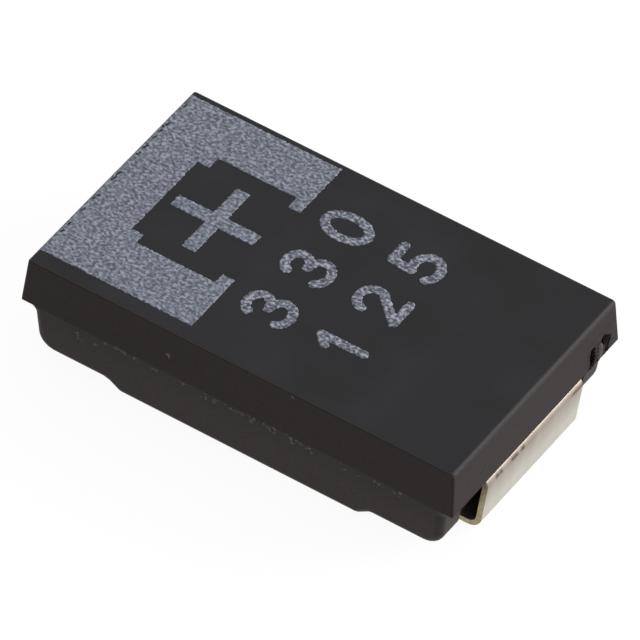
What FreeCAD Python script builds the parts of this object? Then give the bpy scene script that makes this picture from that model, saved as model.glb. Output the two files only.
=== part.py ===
import FreeCAD, Part
import math
import os

# Moulded-chip tantalum capacitor, millimetres.
# X runs from the anode end to the cathode end, Y across, Z up from the board.
# The origin is on the board, under the middle of the part.

Vector = FreeCAD.Vector

# Moulded case, measured at the parting line, where the two mould halves meet
case_length = 7.27
case_width = 4.30
upper_height = 0.775
lower_height = 1.035
standoff = 0.04
upper_draft = 4.5
lower_draft = 4.5
side_ledge = 0.03
end_ledge = 0.17
ledge_drop = 0.15
ledge_radius = 0.06
side_edge_radius = 0.035
anode_edge_radius = 0.05
cathode_edge_radius = 0.065
end_round = 0.30
side_round = 0.13

# Underside: the middle stands lower than the two ends, which clear the folded feet
pad_recess = 0.155
pad_recess_length = 1.40
pad_step_length = 0.22
pad_step_radius = 0.12

# Terminals, two strips of one lead frame
strip_thickness = 0.09
strip_width = 2.45
terminal_proud = 0.015
leg_lean = 0.10
foot_length = 1.30
shoulder_radius = 0.10
heel_radius = 0.14
step_radius = 0.08
channel_side_gap = 0.36
channel_back_gap = 0.17

# Anode end inside the case, from the channel inwards
anchor_length = 0.25
joggle_length = 0.20
weld_length = 0.50
tongue_gap = 0.30
tongue_width = 1.20
weld_flat = 0.03
wire_diameter = 0.30
wire_embedded = 2.00
washer_diameter = 0.90
washer_thickness = 0.12

# Cathode end inside the case, and the capacitor element that it carries
riser_inset = 0.85
cradle_inset = 2.41
strip_end_gap = 0.06
side_wall = 0.50
roof_wall = 0.25
floor_wall = 0.26
core_edge_radius = 0.05
polymer_thickness = 0.03
graphite_thickness = 0.02
silver_thickness = 0.03
adhesive_thickness = 0.03
adhesive_margin = 0.12

# Scar on the cathode end, where the mould's gate broke off beside the terminal
gate_scar_from = 1.39
gate_slot_width = 0.16
gate_slot_height = 0.42
gate_slot_depth = 0.17
gate_facet_width = 0.17
gate_facet_height = 0.36
gate_facet_depth = 0.11
gate_lip_depth = 0.02
gate_break_run = 0.05
gate_stub_width = 0.40
gate_stub_drop = 0.46
gate_stub_inset = 0.05

# Levels above the board
belly_z = standoff
recess_z = belly_z + pad_recess
parting_z = belly_z + lower_height
top_z = parting_z + upper_height
strip_z = parting_z - strip_thickness / 2
foot_z = strip_thickness / 2
cradle_z = belly_z + floor_wall + strip_thickness / 2
element_bottom_z = cradle_z + strip_thickness / 2 + adhesive_thickness
element_top_z = top_z - roof_wall
element_z = (element_bottom_z + element_top_z) / 2
tongue_z = element_z - wire_diameter / 2 + weld_flat - strip_thickness / 2

# Places along X
terminal_reach = case_length / 2 + terminal_proud
leg_x = terminal_reach - strip_thickness / 2
channel_back_x = terminal_reach - strip_thickness - leg_lean - channel_back_gap
riser_x = channel_back_x - riser_inset
element_end_x = riser_x - strip_thickness / 2 - strip_end_gap
joggle_out_x = -channel_back_x + anchor_length
wire_end_x = joggle_out_x + joggle_length
tongue_end_x = wire_end_x + weld_length
element_face_x = tongue_end_x + tongue_gap
cradle_x = element_face_x + cradle_inset

coat_thickness = polymer_thickness + graphite_thickness + silver_thickness
core_end_x = element_end_x - coat_thickness
core_half_width = case_width / 2 - side_wall - coat_thickness
core_half_height = (element_top_z - element_bottom_z) / 2 - coat_thickness
beyond = case_length


def bent_edges(points, radii, offset):
    """Edges of a bent line of (x, z) points, moved sideways, with its two ends."""
    headings = []
    for (ax, az), (bx, bz) in zip(points, points[1:]):
        run = math.hypot(bx - ax, bz - az)
        headings.append(Vector((bx - ax) / run, 0, (bz - az) / run))
    normals = [Vector(-h.z, 0, h.x) for h in headings]
    corners = [Vector(x, 0, z) for x, z in points]
    first = corners[0] + normals[0] * offset
    here = first
    edges = []
    for i in range(1, len(corners) - 1):
        turn = math.atan2(normals[i - 1].cross(normals[i]).y, normals[i - 1].dot(normals[i]))
        side = -1 if turn > 0 else 1
        reach = radii[i - 1] * math.tan(abs(turn) / 2)
        bend_start = corners[i] - headings[i - 1] * reach
        bend_end = corners[i] + headings[i] * reach
        centre = bend_start + normals[i - 1] * (side * radii[i - 1])
        outward = (corners[i] - centre).normalize()
        start = bend_start + normals[i - 1] * offset
        middle = centre + outward * (radii[i - 1] - side * offset)
        end = bend_end + normals[i] * offset
        edges.append(Part.makeLine(here, start))
        edges.append(Part.Arc(start, middle, end).toShape())
        here = end
    last = corners[-1] + normals[-1] * offset
    edges.append(Part.makeLine(here, last))
    return first, edges, last


def prism_across(edges, width):
    """Solid between two planes of constant Y, from the edges of a closed outline."""
    face = Part.Face(Part.Wire(Part.__sortEdges__(edges)))
    face.translate(Vector(0, -width / 2, 0))
    return face.extrude(Vector(0, width, 0))


def bent_strip(points, radii, width):
    """Flat strip folded along a line through the middle of its thickness."""
    left_start, left, left_end = bent_edges(points, radii, strip_thickness / 2)
    right_start, right, right_end = bent_edges(points, radii, -strip_thickness / 2)
    caps = [Part.makeLine(left_start, right_start), Part.makeLine(left_end, right_end)]
    return prism_across(left + right + caps, width)


def block(x0, x1, y0, y1, z0, z1):
    return Part.makeBox(x1 - x0, y1 - y0, z1 - z0, Vector(x0, y0, z0))


def drafted_sides(half_width, draft, z_wide, z_narrow):
    """Long bar whose two sides lean in by the draft, from z_wide towards z_narrow."""
    lean = math.tan(math.radians(draft))
    depth = abs(z_narrow - z_wide)
    sign = 1 if z_narrow > z_wide else -1
    outline = []
    for y_side, level in ((1, -1), (1, 2), (-1, 2), (-1, -1)):
        y = y_side * (half_width - lean * level * depth)
        outline.append(Vector(-beyond, y, z_wide + sign * level * depth))
    face = Part.Face(Part.makePolygon(outline + [outline[0]]))
    return face.extrude(Vector(2 * beyond, 0, 0))


def on_plane(edge, z):
    return all(abs(vertex.Z - z) < 1e-6 for vertex in edge.Vertexes)


def rounded_sides(solid, radius):
    """Rounds all edges of the two side faces, apart from those at the parting line."""
    edges = []
    for face in solid.Faces:
        if abs(face.normalAt(0, 0).y) > 0.9:
            edges += [e for e in face.Edges if not on_plane(e, parting_z)]
    return solid.makeFillet(radius, edges)


def upper_case():
    """Upper mould half: flat top and leaning walls, with the softest edge at the cathode."""
    half = case_length / 2
    narrow = half - upper_height * math.tan(math.radians(upper_draft))
    outline = [(-half, parting_z), (-narrow, top_z), (narrow, top_z), (half, parting_z)]
    start, edges, end = bent_edges(outline, [anode_edge_radius, cathode_edge_radius], 0)
    solid = prism_across(edges + [Part.makeLine(end, start)], 2 * case_width)
    solid = solid.common(drafted_sides(case_width / 2, upper_draft, parting_z, top_z))
    return rounded_sides(solid, side_edge_radius)


def lower_case():
    """Lower mould half: slants in at the ends, rounded below, with a step over each foot."""
    half = case_length / 2
    lean = math.tan(math.radians(lower_draft))
    wall_x = half - end_ledge - lean * ledge_drop
    end_x = half - end_ledge - lean * (parting_z - recess_z)
    step_x = half - pad_recess_length
    outline = [
        (-half, parting_z),
        (-wall_x, parting_z - ledge_drop),
        (-end_x, recess_z),
        (-step_x, recess_z),
        (-step_x + pad_step_length, belly_z),
        (step_x - pad_step_length, belly_z),
        (step_x, recess_z),
        (end_x, recess_z),
        (wall_x, parting_z - ledge_drop),
        (half, parting_z),
    ]
    radii = [ledge_radius, end_round] + 4 * [pad_step_radius] + [end_round, ledge_radius]
    start, edges, end = bent_edges(outline, radii, 0)
    solid = prism_across(edges + [Part.makeLine(end, start)], 2 * case_width)
    half_width = case_width / 2 - side_ledge
    solid = solid.common(drafted_sides(half_width, lower_draft, parting_z, belly_z))
    return rounded_sides(solid, side_round)


def channel(end):
    """Space at one end of the lower half, in which the terminal's leg goes down."""
    half_width = strip_width / 2 + channel_side_gap
    x0, x1 = sorted((end * channel_back_x, end * beyond))
    return block(x0, x1, -half_width, half_width, -beyond, parting_z)


def gate_scar():
    """What the gate tore out of the upper half: a tall slot, then a facet that slants inwards."""
    face_x = case_length / 2
    slot_end = gate_scar_from + gate_slot_width
    facet_end = slot_end + gate_facet_width
    slot = block(face_x - gate_slot_depth, beyond, gate_scar_from, slot_end,
                 parting_z, parting_z + gate_slot_height)
    outline = [
        Vector(beyond, slot_end, parting_z),
        Vector(face_x - gate_lip_depth, slot_end, parting_z),
        Vector(face_x - gate_facet_depth, facet_end, parting_z),
        Vector(face_x, facet_end + gate_break_run, parting_z),
        Vector(beyond, facet_end + gate_break_run, parting_z),
    ]
    facet = Part.Face(Part.makePolygon(outline + [outline[0]]))
    return slot.fuse(facet.extrude(Vector(0, 0, gate_facet_height)))


def gate_stub():
    """What the gate left on the lower half: a slanted lump beside the terminal's channel."""
    low_z = parting_z - gate_stub_drop
    wall_x = case_length / 2 - end_ledge - gate_stub_drop * math.tan(math.radians(lower_draft))
    outline = [
        Vector(case_length / 2 - gate_stub_inset, 0, parting_z),
        Vector(wall_x, 0, low_z),
        Vector(channel_back_x, 0, low_z),
        Vector(channel_back_x, 0, parting_z),
    ]
    face = Part.Face(Part.makePolygon(outline + [outline[0]]))
    face.translate(Vector(0, strip_width / 2 + channel_side_gap, 0))
    return face.extrude(Vector(0, gate_stub_width, 0))


def leg_points(end):
    """Outer half of a terminal: shoulder, leg and foot, from the case outwards."""
    return [
        (end * leg_x, strip_z),
        (end * (leg_x - leg_lean), foot_z),
        (end * (terminal_reach - foot_length), foot_z),
    ]


def cathode_terminal():
    """Strip that lies under the element, rises behind it and leaves at the parting line."""
    inside = [(cradle_x, cradle_z), (riser_x, cradle_z), (riser_x, strip_z)]
    bend = step_radius + strip_thickness / 2
    radii = [bend, bend, shoulder_radius + strip_thickness / 2, heel_radius + strip_thickness / 2]
    return bent_strip(inside + leg_points(1), radii, strip_width)


def anode_terminal():
    """Strip with a narrow tongue, set down so that the wire lies on it at the weld."""
    inside = [(tongue_end_x, tongue_z), (wire_end_x, tongue_z), (joggle_out_x, strip_z)]
    bend = step_radius + strip_thickness / 2
    radii = [bend, bend, shoulder_radius + strip_thickness / 2, heel_radius + strip_thickness / 2]
    strip = bent_strip(inside + leg_points(-1), radii, strip_width)
    for side in (-1, 1):
        y0, y1 = sorted((side * tongue_width / 2, side * beyond))
        shoulder_x = joggle_out_x - strip_thickness
        strip = strip.cut(block(shoulder_x, element_face_x, y0, y1, belly_z + floor_wall, top_z))
    return strip


def coated_block(coat):
    """Element out to a given thickness of coating, open at the face that the wire leaves."""
    length = core_end_x + coat - element_face_x
    half_width = core_half_width + coat
    half_height = core_half_height + coat
    solid = block(element_face_x, element_face_x + length, -half_width, half_width,
                  element_z - half_height, element_z + half_height)
    edges = []
    for edge in solid.Edges:
        if any(vertex.X > element_face_x + length / 2 for vertex in edge.Vertexes):
            edges.append(edge)
    return solid.makeFillet(core_edge_radius + coat, edges)


def wire_rod(x0, x1, diameter):
    return Part.makeCylinder(diameter / 2, x1 - x0, Vector(x0, 0, element_z), Vector(1, 0, 0))


def build():
    terminals = {"anode_terminal": anode_terminal(), "cathode_terminal": cathode_terminal()}

    wire = wire_rod(wire_end_x, element_face_x + wire_embedded, wire_diameter)
    wire = wire.cut(terminals["anode_terminal"])

    inner = {"anode_wire": wire, "tantalum_pellet": coated_block(0).cut(wire)}
    depth = 0
    for name, thickness in (
        ("polymer_coat", polymer_thickness),
        ("graphite_coat", graphite_thickness),
        ("silver_coat", silver_thickness),
    ):
        inner[name] = coated_block(depth + thickness).cut(coated_block(depth))
        depth += thickness

    washer_x = element_face_x - washer_thickness
    washer = wire_rod(washer_x, element_face_x, washer_diameter)
    inner["wire_washer"] = washer.cut(wire)

    pad_end_x = riser_x - strip_thickness / 2 - step_radius - adhesive_margin
    pad_half_width = strip_width / 2 - adhesive_margin
    inner["silver_adhesive"] = block(
        cradle_x + adhesive_margin, pad_end_x, -pad_half_width, pad_half_width,
        cradle_z + strip_thickness / 2, element_bottom_z)

    lower = lower_case().fuse(gate_stub())
    case = upper_case().fuse(lower).removeSplitter()
    case = case.cut(channel(1)).cut(channel(-1)).cut(gate_scar())
    core = coated_block(coat_thickness)
    for piece in (core, wire, inner["wire_washer"], inner["silver_adhesive"], *terminals.values()):
        case = case.cut(piece)
    return {"moulded_case": case, **terminals, **inner}


os.makedirs("parts", exist_ok=True)
for name, shape in build().items():
    solid = shape.Solids[0] if len(shape.Solids) == 1 else shape
    solid.exportStep("parts/" + name + ".step")
    print(name, len(shape.Solids), "solid, volume", round(shape.Volume, 4), "mm3")
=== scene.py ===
import math

import bpy
import bmesh
import numpy as np
from mathutils import Matrix, Vector, noise
from mathutils.bvhtree import BVHTree


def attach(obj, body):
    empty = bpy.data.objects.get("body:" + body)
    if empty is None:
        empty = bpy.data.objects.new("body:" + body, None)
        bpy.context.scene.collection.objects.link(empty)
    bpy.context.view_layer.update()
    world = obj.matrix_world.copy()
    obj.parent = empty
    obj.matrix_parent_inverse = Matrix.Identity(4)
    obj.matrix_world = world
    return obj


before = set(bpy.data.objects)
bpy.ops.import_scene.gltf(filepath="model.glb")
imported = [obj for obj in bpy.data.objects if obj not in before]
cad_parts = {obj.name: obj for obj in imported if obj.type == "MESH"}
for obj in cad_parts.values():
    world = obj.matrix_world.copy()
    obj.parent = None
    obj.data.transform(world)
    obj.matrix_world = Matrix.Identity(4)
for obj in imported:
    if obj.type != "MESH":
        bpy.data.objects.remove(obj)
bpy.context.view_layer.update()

# Tantalum wire
# The anode lead of the element: drawn tantalum wire, 0.3 mm thick, pressed into the pellet.
# Drawing leaves fine scratches along its length and a blue-grey, half-bright metal.
MM = 0.001
SCRATCH_LENGTH = MM / 1.5
SCRATCH_WIDTH = 0.025 * MM
SCRATCH_DEPTH = 0.001 * MM


def linear(hex_colour):
    """Linear RGBA from an sRGB hex value such as '8a8d94'."""
    channels = [int(hex_colour[i:i + 2], 16) / 255 for i in (0, 2, 4)]
    return [c / 12.92 if c <= 0.04045 else ((c + 0.055) / 1.055) ** 2.4 for c in channels] + [1.0]


def add(tree, kind, sockets=(), stops=(), **settings):
    """Adds a shader node, makes its settings, and fills or links its sockets."""
    node = tree.nodes.new("ShaderNode" + kind)
    for name, value in settings.items():
        setattr(node, name, value)
    for name, value in dict(sockets).items():
        if isinstance(value, bpy.types.NodeSocket):
            tree.links.new(value, node.inputs[name])
        else:
            node.inputs[name].default_value = value
    for index, (position, hex_colour) in enumerate(stops):
        while len(node.color_ramp.elements) <= index:
            node.color_ramp.elements.new(1.0)
        node.color_ramp.elements[index].position = position
        node.color_ramp.elements[index].color = linear(hex_colour)
    return node


def new_material(name):
    """Empty node material: its tree, its surface shader and the object's own coordinates."""
    material = bpy.data.materials.new(name)
    material.use_nodes = True
    tree = material.node_tree
    shader = tree.nodes["Principled BSDF"]
    place = add(tree, "TexCoord").outputs["Object"]
    return material, tree, shader, place


def dress(node_name, material):
    """Gives a CAD node its finish."""
    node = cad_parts[node_name]
    node.data.materials.clear()
    node.data.materials.append(material)


def bump(tree, shader, height, distance):
    """Surface relief of a given height in metres, from a 0 to 1 pattern."""
    relief = add(tree, "Bump", {"Height": height, "Distance": distance, "Strength": 1.0})
    tree.links.new(relief.outputs["Normal"], shader.inputs["Normal"])


# Drawn tantalum: scratches along the wire draw its shine out into a streaky, steel-blue gleam.
material, tree, shader, place = new_material("drawn_tantalum_wire")
stretched = add(tree, "Mapping", {
    "Vector": place, "Scale": (1 / SCRATCH_LENGTH, 1 / SCRATCH_WIDTH, 1 / SCRATCH_WIDTH)})
scratches = add(tree, "TexNoise", {"Vector": stretched.outputs[0], "Scale": 1.0, "Detail": 3.0})
tone = add(tree, "ValToRGB", {"Fac": scratches.outputs[0]}, [(0.3, "7b7f88"), (0.7, "9da0a6")])
tree.links.new(tone.outputs[0], shader.inputs["Base Color"])
shader.inputs["Metallic"].default_value = 1.0
shader.inputs["Roughness"].default_value = 0.34
bump(tree, shader, scratches.outputs[0], SCRATCH_DEPTH)
dress("anode_wire", material)

# Tantalum pellet
# Tantalum powder of a few microns, pressed to a block round the wire and sintered.
# It is an open sponge, dark grey and dull, with pores drawn ten times as coarse so that they show.
PORE = 0.04 * MM
PORE_DEPTH = 0.01 * MM

# Sintered tantalum: the pores trap the light, so the metal looks like dark, dry slate.
material, tree, shader, place = new_material("sintered_tantalum")
pores = add(tree, "TexVoronoi", {"Vector": place, "Scale": 1 / PORE})
tone = add(tree, "ValToRGB", {"Fac": pores.outputs["Distance"]}, [(0.1, "5a5b60"), (0.7, "37383c")])
tree.links.new(tone.outputs[0], shader.inputs["Base Color"])
shader.inputs["Metallic"].default_value = 0.6
shader.inputs["Roughness"].default_value = 0.85
bump(tree, shader, pores.outputs["Distance"], PORE_DEPTH)
dress("tantalum_pellet", material)

# Dipped coats, washer and glue round the pellet
# Blue-black conductive polymer, graphite and silver paint are dipped on one after the other;
# a white fluoropolymer washer keeps them off the wire, and silver-filled glue holds the element.
COAT_RELIEF = 0.002 * MM
# Node, slot, finish, darker and lighter colour, metallic, roughness, and size of the mottling in mm.
# To the eye: a satin blue-black film, dull grey-black dust, warm dull silver, a waxy white
# and a grey silver paste.
COATS = (
    ("polymer_coat", "conductive_polymer", "pedot_film", "151a26", "242b3b", 0.0, 0.45, 0.12),
    ("graphite_coat", "graphite", "dipped_graphite", "232325", "3b3b3e", 0.2, 0.60, 0.06),
    ("silver_coat", "silver_paint", "dipped_silver_paint", "a19f97", "c6c4bc", 0.9, 0.48, 0.05),
    ("wire_washer", "fluoropolymer", "pressed_fluoropolymer", "e6e3dc", "f3f1ec", 0.0, 0.42, 0.20),
    ("silver_adhesive", "silver_epoxy", "silver_filled_epoxy", "8f8d86", "b4b2aa", 0.7, 0.55, 0.04),
)

for node_name, slot, finish, dark, light, metallic, roughness, mottle in COATS:
    material, tree, shader, place = new_material(finish)
    grain = add(tree, "TexNoise", {"Vector": place, "Scale": 1 / (mottle * MM), "Detail": 2.0})
    tone = add(tree, "ValToRGB", {"Fac": grain.outputs[0]}, [(0.35, dark), (0.65, light)])
    tree.links.new(tone.outputs[0], shader.inputs["Base Color"])
    shader.inputs["Metallic"].default_value = metallic
    shader.inputs["Roughness"].default_value = roughness
    bump(tree, shader, grain.outputs[0], COAT_RELIEF)
    dress(node_name, material)

# Terminals
# Two strips sheared from one lead frame, 0.09 mm copper alloy with matte tin on both faces.
# The tin is a warm grey, drawn darker and browner towards the case; the sheared edges show the tan metal.
TIN_GRAIN = 0.05 * MM
TIN_RELIEF = 0.0015 * MM
ROLLING_LENGTH = 0.7 * MM
ROLLING_WIDTH = 0.16 * MM
SHEARED_FACING = 0.7
PALE_BELOW = 0.40 * MM
BROWN_ABOVE = 0.98 * MM
# Dark dashes along the upper bend, as place across the strip and half length in mm.
DARK_DASHES = ((-0.93, 0.07), (-0.53, 0.07), (-0.32, 0.05))
DASHES_Z = 0.93 * MM
DASH_WIDTH = 0.052 * MM
DASH_FADE = 1.5
DASH_SPECKLE = 0.10 * MM
# Painted shade: a brown streak along the bend at the strip's far end.
BEND_SHADE_Z = 0.915 * MM
BEND_SHADE_WIDTH = 0.045 * MM
BEND_SHADE_FROM = 0.90 * MM
BEND_SHADE_FADE = 0.1 * MM
BEND_SHADE_STRENGTH = 0.9
# Sockets of a node that mixes colours: the share, the two colours, and the mixed one that comes out.
SHARE, UNDER, OVER, MIXED = 0, 6, 7, 2


def stripe_mask(tree, coordinate, middle, full, gone, strength=1.0):
    """Mask across one coordinate: even up to one distance from the middle, gone at the next."""
    offset = add(tree, "Math", {0: coordinate, 1: middle}, operation="SUBTRACT")
    distance = add(tree, "Math", {0: offset.outputs[0]}, operation="ABSOLUTE")
    return add(tree, "MapRange", {
        "Value": distance.outputs[0], "From Min": full, "From Max": gone,
        "To Min": strength, "To Max": 0.0}).outputs[0]


# Matte tin: a soft, warm silver with faint streaks of rolling, between a mirror and chalk.
# Its grains are a few microns wide, and are drawn ten times as coarse so that they show.
material, tree, shader, place = new_material("matte_tinned_strip")
grain = add(tree, "TexNoise", {"Vector": place, "Scale": 1 / TIN_GRAIN, "Detail": 3.0})
rolled = add(tree, "Mapping", {
    "Vector": place, "Scale": (1 / ROLLING_LENGTH, 1 / ROLLING_WIDTH, 1 / ROLLING_LENGTH)})
streaks = add(tree, "TexNoise", {"Vector": rolled.outputs[0], "Scale": 1.0, "Detail": 2.0})
pale_tin = add(tree, "ValToRGB", {"Fac": streaks.outputs[0]}, [(0.3, "c2beb2"), (0.7, "cac6bb")])
brownish = add(tree, "ValToRGB", {"Fac": streaks.outputs[0]}, [(0.3, "948a7f"), (0.7, "a0968b")])
spot = add(tree, "SeparateXYZ", {"Vector": place})
towards_case = add(tree, "MapRange", {
    "Value": spot.outputs["Z"], "From Min": PALE_BELOW, "From Max": BROWN_ABOVE})
tin = add(tree, "Mix", {SHARE: towards_case.outputs[0], UNDER: pale_tin.outputs[0], OVER: brownish.outputs[0]},
          data_type="RGBA")

on_bend = stripe_mask(tree, spot.outputs["Z"], DASHES_Z, 0.0, DASH_WIDTH)
speckle = add(tree, "TexNoise", {"Vector": place, "Scale": 1 / DASH_SPECKLE, "Detail": 2.0})
uneven = add(tree, "MapRange", {
    "Value": speckle.outputs[0], "From Min": 0.36, "From Max": 0.50, "To Max": 0.9})
patchy_bend = add(tree, "Math", {0: on_bend, 1: uneven.outputs[0]}, operation="MULTIPLY")
at_dash = 0.0
for middle, half_length in DARK_DASHES:
    one_dash = stripe_mask(tree, spot.outputs["Y"], middle * MM,
                            half_length * MM, DASH_FADE * half_length * MM)
    at_dash = add(tree, "Math", {0: at_dash, 1: one_dash}, operation="MAXIMUM").outputs[0]
dashed = add(tree, "Math", {0: patchy_bend.outputs[0], 1: at_dash}, operation="MULTIPLY")
dashed_tin = add(tree, "Mix", {SHARE: dashed.outputs[0], UNDER: tin.outputs[MIXED],
                               OVER: linear("3d322a")}, data_type="RGBA")

# Painted shade: the brown streak along the bend at the far end stands in for the bend's shade.
on_bend_shade = stripe_mask(tree, spot.outputs["Z"], BEND_SHADE_Z, 0.0, BEND_SHADE_WIDTH, BEND_SHADE_STRENGTH)
far_end = add(tree, "MapRange", {
    "Value": spot.outputs["Y"], "From Min": BEND_SHADE_FROM, "From Max": BEND_SHADE_FROM + BEND_SHADE_FADE})
streak = add(tree, "Math", {0: on_bend_shade, 1: far_end.outputs[0]}, operation="MULTIPLY")
bend_shaded_tin = add(tree, "Mix", {SHARE: streak.outputs[0], UNDER: dashed_tin.outputs[MIXED],
                             OVER: linear("5f493c")}, data_type="RGBA")

bare = add(tree, "ValToRGB", {"Fac": grain.outputs[0]}, [(0.3, "857a5f"), (0.7, "a89d7e")])
facing = add(tree, "SeparateXYZ", {"Vector": add(tree, "NewGeometry").outputs["Normal"]})
across = add(tree, "Math", {0: facing.outputs["Y"]}, operation="ABSOLUTE")
cut_edge = add(tree, "Math", {0: across.outputs[0], 1: SHEARED_FACING}, operation="GREATER_THAN")
tone = add(tree, "Mix", {SHARE: cut_edge.outputs[0], UNDER: bend_shaded_tin.outputs[MIXED],
                         OVER: bare.outputs[0]}, data_type="RGBA")
tree.links.new(tone.outputs[MIXED], shader.inputs["Base Color"])
shader.inputs["Metallic"].default_value = 1.0
dull = add(tree, "MapRange", {"Value": grain.outputs[0], "To Min": 0.36, "To Max": 0.52})
tree.links.new(dull.outputs[0], shader.inputs["Roughness"])
bump(tree, shader, grain.outputs[0], TIN_RELIEF)
dress("cathode_terminal", material)
dress("anode_terminal", material)

# Moulded case
# Black silica-filled epoxy, moulded in two halves that meet at the terminals.
# The mould is spark-eroded, which leaves a fine matt skin; the lower half is drawn a little paler, as
# painted light from the floor.
WALL_GRAIN = 0.05 * MM
WALL_RELIEF = 0.003 * MM
CLOUD = 1.1 * MM
SEAM_Z = 1.075 * MM
SEAM_BLEND = 0.50 * MM
EDGE_HIGHLIGHT_ABOVE = 1.775 * MM
EDGE_HIGHLIGHT_BLEND = 0.02 * MM
STUMP_CENTRE = (3.50 * MM, 1.62 * MM, 0.90 * MM)
STUMP_REACH = 0.34 * MM
STUMP_BLEND = 0.06 * MM
STUMP_JAG = 0.12 * MM
STUMP_WANDER = 2 * STUMP_JAG

# Filled black epoxy: a warm, near-black matt on the walls and a cooler, cloudy one on the top.
# The pits of its skin are too fine to show, and are drawn about 0.05 mm wide.
material, tree, shader, place = new_material("moulded_black_epoxy")
clouds = add(tree, "TexNoise", {"Vector": place, "Scale": 1 / CLOUD, "Detail": 3.0})
fine = add(tree, "TexNoise", {"Vector": place, "Scale": 1 / WALL_GRAIN, "Detail": 4.0})
top_tone = add(tree, "ValToRGB", {"Fac": clouds.outputs[0]}, [(0.3, "232325"), (0.7, "2c2b2e")])
upper_tone = add(tree, "ValToRGB", {"Fac": fine.outputs[0]}, [(0.3, "201918"), (0.7, "27201f")])
# Painted light: the lower half of the walls is drawn paler, as if lit by the floor.
floor_lit_lower_tone = add(tree, "ValToRGB", {"Fac": fine.outputs[0]}, [(0.3, "272120"), (0.7, "322b28")])
spot = add(tree, "SeparateXYZ", {"Vector": place})
above = add(tree, "MapRange", {
    "Value": spot.outputs["Z"], "From Min": SEAM_Z - SEAM_BLEND, "From Max": SEAM_Z - SEAM_BLEND / 3})
wall_tone = add(tree, "Mix", {SHARE: above.outputs[0], UNDER: floor_lit_lower_tone.outputs[0],
                              OVER: upper_tone.outputs[0]}, data_type="RGBA")
facing = add(tree, "SeparateXYZ", {"Vector": add(tree, "NewGeometry").outputs["Normal"]})
upward = add(tree, "MapRange", {
    "Value": facing.outputs["Z"], "From Min": 0.5, "From Max": 0.95})
skin_tone = add(tree, "Mix", {SHARE: upward.outputs[0], UNDER: wall_tone.outputs[MIXED],
                              OVER: top_tone.outputs[0]}, data_type="RGBA")

# Painted highlight: the rounded upper edge over the cathode end is drawn paler, as the light along it.
edge_highlight_tone = add(tree, "ValToRGB", {"Fac": fine.outputs[0]}, [(0.3, "34302f"), (0.7, "403b39")])
high = add(tree, "MapRange", {
    "Value": spot.outputs["Z"], "From Min": EDGE_HIGHLIGHT_ABOVE, "From Max": EDGE_HIGHLIGHT_ABOVE + EDGE_HIGHLIGHT_BLEND})
outward = add(tree, "MapRange", {
    "Value": facing.outputs["X"], "From Min": 0.10, "From Max": 0.40})
edge_highlight = add(tree, "Math", {0: high.outputs[0], 1: outward.outputs[0]}, operation="MULTIPLY")
edge_highlighted_tone = add(tree, "Mix", {SHARE: edge_highlight.outputs[0], UNDER: skin_tone.outputs[MIXED],
                               OVER: edge_highlight_tone.outputs[0]}, data_type="RGBA")

# Painted highlight: the rounded lip between the walls and the top is drawn as a thin pale line.
lip_highlight = add(tree, "ValToRGB", {"Fac": facing.outputs["Z"]},
          [(0.5, "000000"), (0.75, "ffffff"), (0.93, "ffffff"), (0.985, "000000")])
lip_highlighted_tone = add(tree, "Mix", {SHARE: lip_highlight.outputs[0], UNDER: edge_highlighted_tone.outputs[MIXED],
                                OVER: linear("3c393b")}, data_type="RGBA")

# The stump of the gate beside the terminal is torn and too rough to shine; it is also drawn blacker as
# painted shade.
off_stump = add(tree, "VectorMath", {0: place, 1: STUMP_CENTRE}, operation="DISTANCE")
jags = add(tree, "TexNoise", {"Vector": place, "Scale": 1 / STUMP_JAG, "Detail": 2.0})
crooked = add(tree, "Math", {0: jags.outputs[0], 1: STUMP_WANDER, 2: off_stump.outputs["Value"]},
              operation="MULTIPLY_ADD")
torn_and_shaded = add(tree, "MapRange", {
    "Value": crooked.outputs[0], "From Min": STUMP_REACH, "From Max": STUMP_REACH + STUMP_BLEND,
    "To Min": 1.0, "To Max": 0.0})
tone = add(tree, "Mix", {SHARE: torn_and_shaded.outputs[0], UNDER: lip_highlighted_tone.outputs[MIXED],
                         OVER: linear("12100f")}, data_type="RGBA")
tree.links.new(tone.outputs[MIXED], shader.inputs["Base Color"])
shader.inputs["IOR"].default_value = 1.55
shader.inputs["Specular IOR Level"].default_value = 0.12
rough = add(tree, "MapRange", {"Value": torn_and_shaded.outputs[0], "To Min": 0.50, "To Max": 1.0})
tree.links.new(rough.outputs[0], shader.inputs["Roughness"])
bump(tree, shader, fine.outputs[0], WALL_RELIEF)
dress("moulded_case", material)
case_epoxy = material

# Specks along the seam
# Bits of torn flash and pale filler that stick to the front wall just under the seam,
# with one chip at the top edge; loose clusters of low flecks, paler and rougher than the skin.
SPREAD_ALONG = 3.0
SPREAD_UP = 0.14 * MM
FLECKS_PER_MM = 110
FEWEST_FLECKS = 4
SMALLEST_FLECK = 0.028 * MM
LARGEST_FLECK = 0.070 * MM
FLECK_DEPTH = 0.012 * MM
FLECK_STRETCH = 1.3
FLECK_DENT = 0.4
FLECK_LUMPS = 3
# Without a seed the flecks would lie at other places in each run.
FLECK_SEED = 2
# Steps through the noise from one cluster to the next and from one fleck to the next.
CLUSTER_STEP, FLECK_STEP, FLECK_STEP_UP = 3.1, 0.71, 1.37
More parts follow.
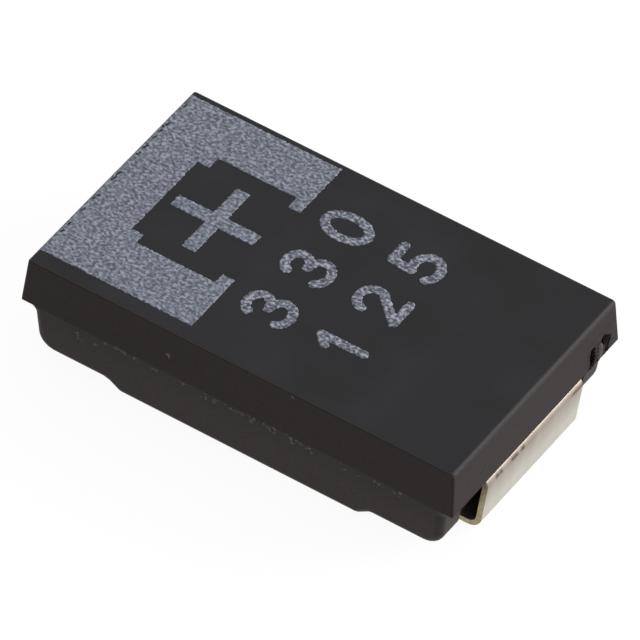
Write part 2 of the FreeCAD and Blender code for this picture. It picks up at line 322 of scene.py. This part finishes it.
# Each cluster is given by its place along the case, its height and its length, in mm.
SPECKS = (
    (-2.66, 0.85, 0.05), (-2.39, 0.87, 0.04), (-2.02, 1.04, 0.10), (-1.83, 1.02, 0.12),
    (-1.41, 0.98, 0.05), (-1.15, 1.44, 0.02), (-0.91, 0.95, 0.05), (-0.55, 0.96, 0.04),
    (-0.32, 0.97, 0.06), (0.01, 0.97, 0.12), (0.28, 0.97, 0.11), (0.51, 0.99, 0.05),
    (0.65, 0.94, 0.04), (0.93, 1.00, 0.14), (1.22, 0.96, 0.05), (1.75, 0.95, 0.04),
    (2.03, 0.95, 0.03), (2.33, 0.94, 0.04), (2.72, 0.97, 0.05), (0.90, 1.80, 0.04),
)
# A distance in metres that is well clear of the part.
FAR = 1.0

case_mesh = BVHTree.FromPolygons(
    [v.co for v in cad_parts["moulded_case"].data.vertices],
    [p.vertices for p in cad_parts["moulded_case"].data.polygons])


def into_scene(mesh, name):
    """Object of a built mesh, carried by the part."""
    data = bpy.data.meshes.new(name)
    mesh.to_mesh(data)
    mesh.free()
    piece = bpy.data.objects.new(name, data)
    bpy.context.scene.collection.objects.link(piece)
    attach(piece, "root")
    return piece


noise.seed_set(FLECK_SEED)
mesh = bmesh.new()
for x, z, length in SPECKS:
    for fleck in range(max(FEWEST_FLECKS, round(length * FLECKS_PER_MM))):
        along, rise, bulk = noise.noise_vector(
            Vector((x * CLUSTER_STEP + fleck * FLECK_STEP, z, fleck * FLECK_STEP_UP)))
        start = Vector(((x + along * length * SPREAD_ALONG) * MM, -FAR, z * MM + rise * SPREAD_UP))
        hit = case_mesh.ray_cast(start, Vector((0, 1, 0)))[0]
        if hit is None:
            continue
        width = SMALLEST_FLECK + (LARGEST_FLECK - SMALLEST_FLECK) * min(1.0, abs(bulk) * 2)
        size = Vector((width * FLECK_STRETCH, FLECK_DEPTH, width))
        lump = bmesh.ops.create_icosphere(mesh, subdivisions=1, radius=0.5)["verts"]
        for v in lump:
            dent = 1 + FLECK_DENT * noise.noise(v.co * FLECK_LUMPS + hit / MM)
            v.co = hit + Vector([c * s * dent for c, s in zip(v.co, size)])
specks = into_scene(mesh, "seam_specks")

# Torn flash and filler: dry, chalky crumbs, a greyish pink against the black wall.
material, tree, shader, place = new_material("torn_flash_filler")
shades = add(tree, "TexNoise", {"Vector": place, "Scale": 1 / LARGEST_FLECK, "Detail": 1.0})
tone = add(tree, "ValToRGB", {"Fac": shades.outputs[0]}, [(0.35, "423d3d"), (0.65, "6d6666")])
tree.links.new(tone.outputs[0], shader.inputs["Base Color"])
shader.inputs["Roughness"].default_value = 0.9
shader.inputs["Specular IOR Level"].default_value = 0.12
specks.data.materials.append(material)

# Broken gate
# Where the gate tore off beside the terminal, the wall is broken: a slot runs down past the
# seam, a chip stands next to it and a rough patch follows, slot and patch drawn dark as painted shade. A
# torn skin is laid over the scar.
GATE_ACROSS = (1.28 * MM, 2.07 * MM)
GATE_UP = (0.62 * MM, 1.57 * MM)
GATE_CELL = 0.014 * MM
GATE_SKIN = 0.002 * MM
GATE_RIM = 0.06 * MM
WHOLE_WALL_Y = 1.22 * MM
# Torn stripes and the chip, each from one point to another across and up the wall, and its radius,
# in mm.
TEARS = (
    ((1.405, 0.98), (1.470, 1.35), 0.072),
    ((1.765, 1.37), (1.875, 1.28), 0.078),
    ((1.830, 1.22), (1.815, 1.05), 0.055),
)
TEAR_DEPTH = 0.13 * MM
TEAR_STEEPNESS = 3
TORN_RAGGED = 0.035 * MM
CHIP = ((1.620, 1.15), (1.665, 1.32), 0.052)
CHIP_RISE = 0.030 * MM
CRAZE = 0.05 * MM
CRAZE_HEIGHT = 0.012 * MM
LONGEST_STEP = 0.10 * MM
SCAR_Y = 1.62 * MM
SCAR_REACH = 0.34 * MM
SCAR_RAGGED = 0.22 * MM
SCAR_LUMP = 0.16 * MM
# The skin's three finishes, in the order of its material slots.
WHOLE, TORN_SHADED, CHIPPED = 0, 1, 2


def to_stripe(y, z, stripe):
    """Signed distance on the end wall to a round-ended stripe given in mm."""
    low, high, radius = Vector(stripe[0]) * MM, Vector(stripe[1]) * MM, stripe[2] * MM
    spot = Vector((y, z)) - low
    share = max(0.0, min(1.0, spot.dot(high - low) / (high - low).length_squared))
    return (spot - share * (high - low)).length - radius


columns = round((GATE_ACROSS[1] - GATE_ACROSS[0]) / GATE_CELL)
rows = round((GATE_UP[1] - GATE_UP[0]) / GATE_CELL)
mesh = bmesh.new()
state = {}
grid = {}
for i in range(columns + 1):
    for j in range(rows + 1):
        y, z = GATE_ACROSS[0] + i * GATE_CELL, GATE_UP[0] + j * GATE_CELL
        craze = noise.noise(Vector((0, y, z)) / CRAZE)
        inside = -min(to_stripe(y, z, tear) for tear in TEARS) + TORN_RAGGED * craze
        chip = -to_stripe(y, z, CHIP)
        # Above the seam the skin follows the whole wall beside the scar, below it the stump.
        hit = case_mesh.ray_cast(Vector((FAR, y, z)), Vector((-1, 0, 0)))[0]
        wall_y = WHOLE_WALL_Y if z > SEAM_Z else y
        wall = case_mesh.ray_cast(Vector((FAR, wall_y, z)), Vector((-1, 0, 0)))[0]
        # Below the seam the skin ends at the ragged edge of the scar.
        scar = SCAR_REACH - Vector((y - SCAR_Y, z - SEAM_Z)).length
        scar += SCAR_RAGGED * noise.noise(Vector((y, 0, z)) / SCAR_LUMP)
        if hit is None or wall is None or (z < SEAM_Z and scar < 0):
            continue
        x = wall.x
        if inside > 0:
            x = max(hit.x, wall.x - min(TEAR_DEPTH, TEAR_STEEPNESS * inside)) + CRAZE_HEIGHT * abs(craze)
        if chip > 0:
            x += min(CHIP_RISE, chip)
        # The skin dips under the wall at its sides and top, and stands just clear of it further in.
        from_rim = min(i, columns - i, rows - j) * GATE_CELL / GATE_RIM
        grid[i, j] = mesh.verts.new((x + GATE_SKIN * min(1.0, 2 * from_rim - 1), y, z))
        state[grid[i, j]] = TORN_SHADED if inside > 0 or z < SEAM_Z else CHIPPED if chip > 0 else WHOLE
for i, j in list(grid):
    corners = [grid.get(at) for at in ((i, j), (i + 1, j), (i + 1, j + 1), (i, j + 1))]
    if None in corners:
        continue
    depths = [v.co.x for v in corners]
    if max(depths) - min(depths) < LONGEST_STEP:
        face = mesh.faces.new(corners)
        face.material_index = sorted(state[v] for v in corners)[1]
bmesh.ops.delete(mesh, geom=[v for v in mesh.verts if not v.link_faces], context="VERTS")
rim = [e for e in mesh.edges if e.is_boundary]
for v in bmesh.ops.extrude_edge_only(mesh, edges=rim)["geom"]:
    if isinstance(v, bmesh.types.BMVert):
        v.co.x -= 2 * GATE_SKIN
for face in mesh.faces:
    face.smooth = True
bmesh.ops.recalc_face_normals(mesh, faces=mesh.faces)
gate_tear = into_scene(mesh, "gate_tear")
gate_tear.data.materials.append(case_epoxy)

# Torn epoxy with painted shade: the crazed break is drawn near black and gives back no shine, so that it
# looks almost like a hole.
material, tree, shader, place = new_material("torn_epoxy_painted_shade")
craze = add(tree, "TexNoise", {"Vector": place, "Scale": 1 / CRAZE, "Detail": 2.0})
tone = add(tree, "ValToRGB", {"Fac": craze.outputs[0]}, [(0.35, "141312"), (0.65, "262322")])
tree.links.new(tone.outputs[0], shader.inputs["Base Color"])
shader.inputs["Roughness"].default_value = 0.95
shader.inputs["Specular IOR Level"].default_value = 0.0
gate_tear.data.materials.append(material)

# Chip epoxy: the chip is drawn a plain, paler grey.
material, _, shader, _ = new_material("paler_chip_epoxy")
shader.inputs["Base Color"].default_value = linear("433f3c")
shader.inputs["Roughness"].default_value = 0.7
gate_tear.data.materials.append(material)

# Laser marks
# A laser burns the resin off the top of the compound and leaves pale, crumbled filler:
# the polarity band with its notched window and plus, and two rows of plain numbers.
BAND_REACH = (-3.56 * MM, -0.982 * MM)
BAND_WIDTH = (-1.825 * MM, 1.985 * MM)
WINDOW_ACROSS = ((-2.53 * MM, -0.925 * MM), (-1.19 * MM, 1.14 * MM))
WINDOW_ALONG = ((-2.73 * MM, -0.735 * MM), (-0.80 * MM, 0.91 * MM))
PLUS_CENTRE = Vector((-1.865, 0.10)) * MM
PLUS_REACH = 0.70 * MM
PLUS_ARM = 0.115 * MM
PLUS_ROOM = 1.1
# Where the laser skipped near the case's end, as place across the case and length in mm.
SKIPS = (
    (1.73, 0.05), (1.27, 0.12), (1.12, 0.06), (0.97, 0.06), (0.72, 0.11), (0.57, 0.06),
    (0.06, 0.08), (-0.06, 0.08), (-0.51, 0.11), (-0.81, 0.08), (-1.16, 0.05), (-1.35, 0.06),
)
SKIP_X = -3.505 * MM
SKIP_WIDTH = 0.028 * MM
SKIP_LEAN = 0.3
ROWS = (("numbers_upper", "330", -0.71 * MM), ("numbers_lower", "125", 0.50 * MM))
FIRST_NUMERAL = -0.905 * MM
NUMERAL_HEIGHT = 0.86 * MM
NUMERAL_WIDTH = 0.585 * MM
NUMERAL_STROKE = 0.148 * MM
NUMERAL_PITCH = 0.982 * MM
CELL = 0.016 * MM
SKIN = 0.004 * MM
CRUMB = 0.043 * MM
CRUMB_STRETCH = 1.25
CRUMB_HEIGHT = 0.005 * MM
CRUMB_FINER = 2.3
CRUMB_FAINTER = 0.5
CRUMB_RELIEF = 0.006 * MM
RAGGED = 0.016 * MM
RAGGED_LENGTH = 0.04 * MM
GENTLEST_SLOPE = 0.5
BAND_TONES = [(0.30, "5f636c"), (0.45, "777b87"), (0.55, "858a96"), (0.70, "a4a8b5")]
NUMERAL_TONES = [(0.32, "54575f"), (0.43, "6c6f7a"), (0.55, "858894"), (0.68, "b0b2bd")]


def to_box(points, low, high):
    """Signed distance from each point to a rectangle, negative inside."""
    middle = (np.array(low) + np.array(high)) / 2
    half = (np.array(high) - np.array(low)) / 2
    over = np.abs(points - middle) - half
    outside = np.linalg.norm(np.maximum(over, 0), axis=1)
    return outside + np.minimum(over.max(axis=1), 0)


def to_line(points, line):
    """Distance from each point to a chain of straight pieces."""
    nearest = np.full(len(points), FAR)
    for start, end in zip(line, line[1:]):
        along = end - start
        share = np.clip((points - start) @ along / (along @ along), 0, 1)
        nearest = np.minimum(nearest, np.linalg.norm(points - start - share[:, None] * along, axis=1))
    return nearest


def arc(centre, radii, start, end, steps=14):
    """Points on an ellipse from one angle to another, in degrees."""
    turn = np.radians(np.linspace(start, end, steps))
    return np.column_stack([centre[0] + radii[0] * np.cos(turn), centre[1] + radii[1] * np.sin(turn)])


# Middle lines of each numeral, in a cell one unit wide and one unit high.
NUMERALS = {
    "0": [arc((0.5, 0.5), (0.38, 0.41), 0, 360, 28)],
    "1": [np.array([(0.28, 0.74), (0.54, 0.91), (0.54, 0.09)])],
    "2": [np.vstack([arc((0.5, 0.68), (0.36, 0.23), 172, -28), [(0.14, 0.09), (0.88, 0.09)]])],
    "3": [arc((0.48, 0.715), (0.34, 0.195), 160, -90), arc((0.48, 0.305), (0.38, 0.215), 90, -160)],
    "5": [np.vstack([[(0.82, 0.91), (0.26, 0.91)], arc((0.46, 0.33), (0.40, 0.24), 128, -150, 18)])],
}


def to_band(points):
    """Signed distance to the polarity band, open at its window and at the laser's skips."""
    outer = to_box(points, (BAND_REACH[0], BAND_WIDTH[0]), (BAND_REACH[1], BAND_WIDTH[1]))
    window = np.minimum(to_box(points, *WINDOW_ACROSS), to_box(points, *WINDOW_ALONG))
    band = np.maximum(outer, -window)
    for y, length in SKIPS:
        half_run = np.array([SKIP_LEAN, 1.0]) * length * MM / 2
        line = (SKIP_X, y * MM) + np.array([-half_run, half_run])
        band = np.maximum(band, SKIP_WIDTH / 2 - to_line(points, line))
    return band


def to_plus(points):
    """Signed distance to the plus in the window."""
    long_x = Vector((PLUS_REACH, PLUS_ARM))
    long_y = Vector((PLUS_ARM, PLUS_REACH))
    arms = [to_box(points, PLUS_CENTRE - half, PLUS_CENTRE + half) for half in (long_x, long_y)]
    return np.minimum(*arms)


def to_row(points, text, top_x):
    """Signed distance to a row of numerals that read across the case, from front to back."""
    nearest = np.full(len(points), FAR)
    for place, numeral in enumerate(text):
        middle = FIRST_NUMERAL + place * NUMERAL_PITCH
        for line in NUMERALS[numeral]:
            x = top_x + (1 - line[:, 1]) * NUMERAL_HEIGHT
            y = middle + (line[:, 0] - 0.5) * NUMERAL_WIDTH
            nearest = np.minimum(nearest, to_line(points, np.column_stack([x, y])))
    return nearest - NUMERAL_STROKE / 2


def ragged(points, distance):
    """Distance with the uneven edge that the laser's steps leave."""
    wobble = [noise.noise(Vector((x, y, 0)) / RAGGED_LENGTH) for x, y in points]
    return distance(points) + RAGGED * np.array(wobble)


def etched_skin(name, distance, low, high):
    """Crumbled skin over the cells where the distance is negative, laid on the case's top."""
    columns = round((high[0] - low[0]) / CELL) + 1
    rows = round((high[1] - low[1]) / CELL) + 1
    xs, ys = np.linspace(low[0], high[0], columns), np.linspace(low[1], high[1], rows)
    corners = np.array([(x, y) for y in ys for x in xs])
    burnt = ragged(corners + CELL / 2, distance) < 0
    mesh = bmesh.new()
    made = {}
    for j in range(rows - 1):
        for i in range(columns - 1):
            first = j * columns + i
            if not burnt[first]:
                continue
            cell = (first, first + 1, first + columns + 1, first + columns)
            for index in cell:
                if index not in made:
                    made[index] = mesh.verts.new((*corners[index], 0))
            mesh.faces.new([made[index] for index in cell])
    # The stepped rim slides down the distance's slope on to the true edge.
    rim = [v for v in mesh.verts if v.is_boundary]
    flat = np.array([v.co.xy for v in rim])
    step = CELL / 4
    away = ragged(flat, distance)
    slope_x = (ragged(flat + (step, 0), distance) - away) / step
    slope_y = (ragged(flat + (0, step), distance) - away) / step
    steep = np.maximum(slope_x ** 2 + slope_y ** 2, GENTLEST_SLOPE)
    for v, d, gx, gy in zip(rim, away, slope_x / steep, slope_y / steep):
        v.co.xy -= Vector((gx, gy)) * max(-CELL, min(CELL, d))
    # Coarse and fine crumbs lift the skin off the case, and its rim is drawn down into it.
    for v in mesh.verts:
        crumb = noise.noise(v.co / CRUMB) + CRUMB_FAINTER * noise.noise(v.co * CRUMB_FINER / CRUMB)
        hit = case_mesh.ray_cast(Vector((v.co.x, v.co.y, FAR)), Vector((0, 0, -1)))[0]
        v.co.z = hit.z + SKIN + CRUMB_HEIGHT * crumb
    edges = [e for e in mesh.edges if e.is_boundary]
    for v in bmesh.ops.extrude_edge_only(mesh, edges=edges)["geom"]:
        if isinstance(v, bmesh.types.BMVert):
            v.co.z -= 2 * SKIN
    bmesh.ops.recalc_face_normals(mesh, faces=mesh.faces)
    for face in mesh.faces:
        face.smooth = True
    return into_scene(mesh, name)


margin = 2 * CELL
plus_room = Vector((PLUS_REACH, PLUS_REACH)) * PLUS_ROOM
marks = [
    etched_skin("polarity_band", to_band, (BAND_REACH[0], BAND_WIDTH[0] - margin),
                (BAND_REACH[1] + margin, BAND_WIDTH[1] + margin)),
    etched_skin("polarity_plus", to_plus, PLUS_CENTRE - plus_room, PLUS_CENTRE + plus_room),
]
for name, text, top_x in ROWS:
    marks.append(etched_skin(
        name, lambda points: to_row(points, text, top_x),
        (top_x - margin, FIRST_NUMERAL - NUMERAL_WIDTH),
        (top_x + NUMERAL_HEIGHT + margin, FIRST_NUMERAL + 2 * NUMERAL_PITCH + NUMERAL_WIDTH)))

# Laser-burnt filler: bluish-grey crumbs that scatter the light, fairly even in the hatched band;
# in the numerals the light and dark crumbs stand out more.
for finish, tones, skins in (("laser_hatched_band", BAND_TONES, marks[:2]),
                             ("laser_written_numerals", NUMERAL_TONES, marks[2:])):
    material, tree, shader, place = new_material(finish)
    hatched = add(tree, "Mapping", {
        "Vector": place, "Scale": (1 / (CRUMB * CRUMB_STRETCH), 1 / CRUMB, 1 / CRUMB)})
    crumbs = add(tree, "TexNoise", {
        "Vector": hatched.outputs[0], "Scale": 1.0, "Detail": 0.3, "Distortion": 0.5})
    tone = add(tree, "ValToRGB", {"Fac": crumbs.outputs[0]}, tones)
    tree.links.new(tone.outputs[0], shader.inputs["Base Color"])
    shader.inputs["Roughness"].default_value = 0.85
    shader.inputs["Specular IOR Level"].default_value = 0.2
    bump(tree, shader, crumbs.outputs[0], CRUMB_RELIEF)
    for skin in skins:
        skin.data.materials.append(material)

# Stage
# A pale floor that the camera sees as near white, with the part's soft shadow on it;
# an even white world, a wide lamp low behind the cathode end and a weak one above.
FLOOR_SIZE = 0.6
FLOOR_DROP = 0.002 * MM
FLOOR_TONE = "f2f2f2"
FLOOR_GLOW = 0.88
FLOOR_SHINE = 1.06
WORLD_STRENGTH = 0.45
# Name, place and size in metres, and watts.
LAMPS = (
    ("key_lamp", (0.170, 0.142, 0.086), 0.12, 0.44),
    ("top_lamp", (0.02, 0.06, 0.22), 0.20, 0.06),
)


def seen_rays(tree):
    """1 on rays that the camera, a reflection or glass looks along, 0 on rays that light."""
    path = add(tree, "LightPath")
    direct = add(tree, "Math", {0: path.outputs["Is Camera Ray"], 1: path.outputs["Is Glossy Ray"]},
                 operation="MAXIMUM")
    return add(tree, "Math", {0: direct.outputs[0], 1: path.outputs["Is Transmission Ray"]},
               operation="MAXIMUM").outputs[0]


mesh = bmesh.new()
bmesh.ops.create_grid(mesh, x_segments=1, y_segments=1, size=FLOOR_SIZE / 2)
floor_data = bpy.data.meshes.new("floor")
mesh.to_mesh(floor_data)
mesh.free()
floor = bpy.data.objects.new("floor", floor_data)
floor.location.z = -FLOOR_DROP
bpy.context.scene.collection.objects.link(floor)

# White card: it takes the shadow, and looks evenly lit to the camera and in the tin.
material, tree, shader, _ = new_material("pale_floor")
shader.inputs["Base Color"].default_value = linear(FLOOR_TONE)
shader.inputs["Roughness"].default_value = 0.9
shader.inputs["Specular IOR Level"].default_value = 0.0
seen = add(tree, "Math", {0: seen_rays(tree), 1: FLOOR_GLOW}, operation="MULTIPLY")
glow = add(tree, "Emission", {"Color": (1, 1, 1, 1), "Strength": FLOOR_SHINE})
mixed = add(tree, "MixShader", {0: seen.outputs[0], 1: shader.outputs[0], 2: glow.outputs[0]})
tree.links.new(mixed.outputs[0], tree.nodes["Material Output"].inputs["Surface"])
floor_data.materials.append(material)

world = bpy.data.worlds.new("soft_studio")
bpy.context.scene.world = world
world.use_nodes = True
tree = world.node_tree
strength = add(tree, "MapRange", {"Value": seen_rays(tree), "To Min": WORLD_STRENGTH, "To Max": 1.0})
background = tree.nodes["Background"]
background.inputs["Color"].default_value = (1, 1, 1, 1)
tree.links.new(strength.outputs[0], background.inputs["Strength"])

for name, spot, size, watts in LAMPS:
    lamp_data = bpy.data.lights.new(name, "AREA")
    lamp_data.size = size
    lamp_data.energy = watts
    lamp = bpy.data.objects.new(name, lamp_data)
    lamp.location = spot
    lamp.rotation_euler = (-Vector(spot)).to_track_quat("-Z", "Y").to_euler()
    bpy.context.scene.collection.objects.link(lamp)

# Camera
# The photograph looks down on the cathode end and the front side, nearly without perspective.
# Its angles, distance and scale come from a camera fitted to the edges of the case.
AZIMUTH = math.radians(31.19)
ELEVATION = math.radians(45.68)
ROLL = math.radians(3.36)
DISTANCE = 159.7 * MM
AIM = Vector((0, 0, 0.9 * MM))
AIM_PIXEL = (319.3, 327.0)
IMAGE_SIZE = 640
PIXELS_PER_METRE = 70.94 / MM
SENSOR = 36.0

back = Vector((math.sin(AZIMUTH) * math.cos(ELEVATION), -math.cos(AZIMUTH) * math.cos(ELEVATION),
               math.sin(ELEVATION)))
level = Vector((0, 0, 1)).cross(back).normalized()
rise = back.cross(level)
right = math.cos(ROLL) * level + math.sin(ROLL) * rise
up = math.cos(ROLL) * rise - math.sin(ROLL) * level
slide = right * (IMAGE_SIZE / 2 - AIM_PIXEL[0]) + up * (AIM_PIXEL[1] - IMAGE_SIZE / 2)

camera_data = bpy.data.cameras.new("camera")
camera_data.sensor_width = SENSOR
camera_data.lens = SENSOR * PIXELS_PER_METRE * DISTANCE / IMAGE_SIZE
camera_data.clip_start = DISTANCE / 10
camera_data.clip_end = DISTANCE * 10
camera = bpy.data.objects.new("camera", camera_data)
turn = Matrix((right, up, back)).transposed()
camera.matrix_world = Matrix.Translation(AIM + back * DISTANCE + slide / PIXELS_PER_METRE) @ turn.to_4x4()
bpy.context.scene.collection.objects.link(camera)
bpy.context.scene.camera = camera
bpy.context.scene.view_settings.view_transform = "Standard"
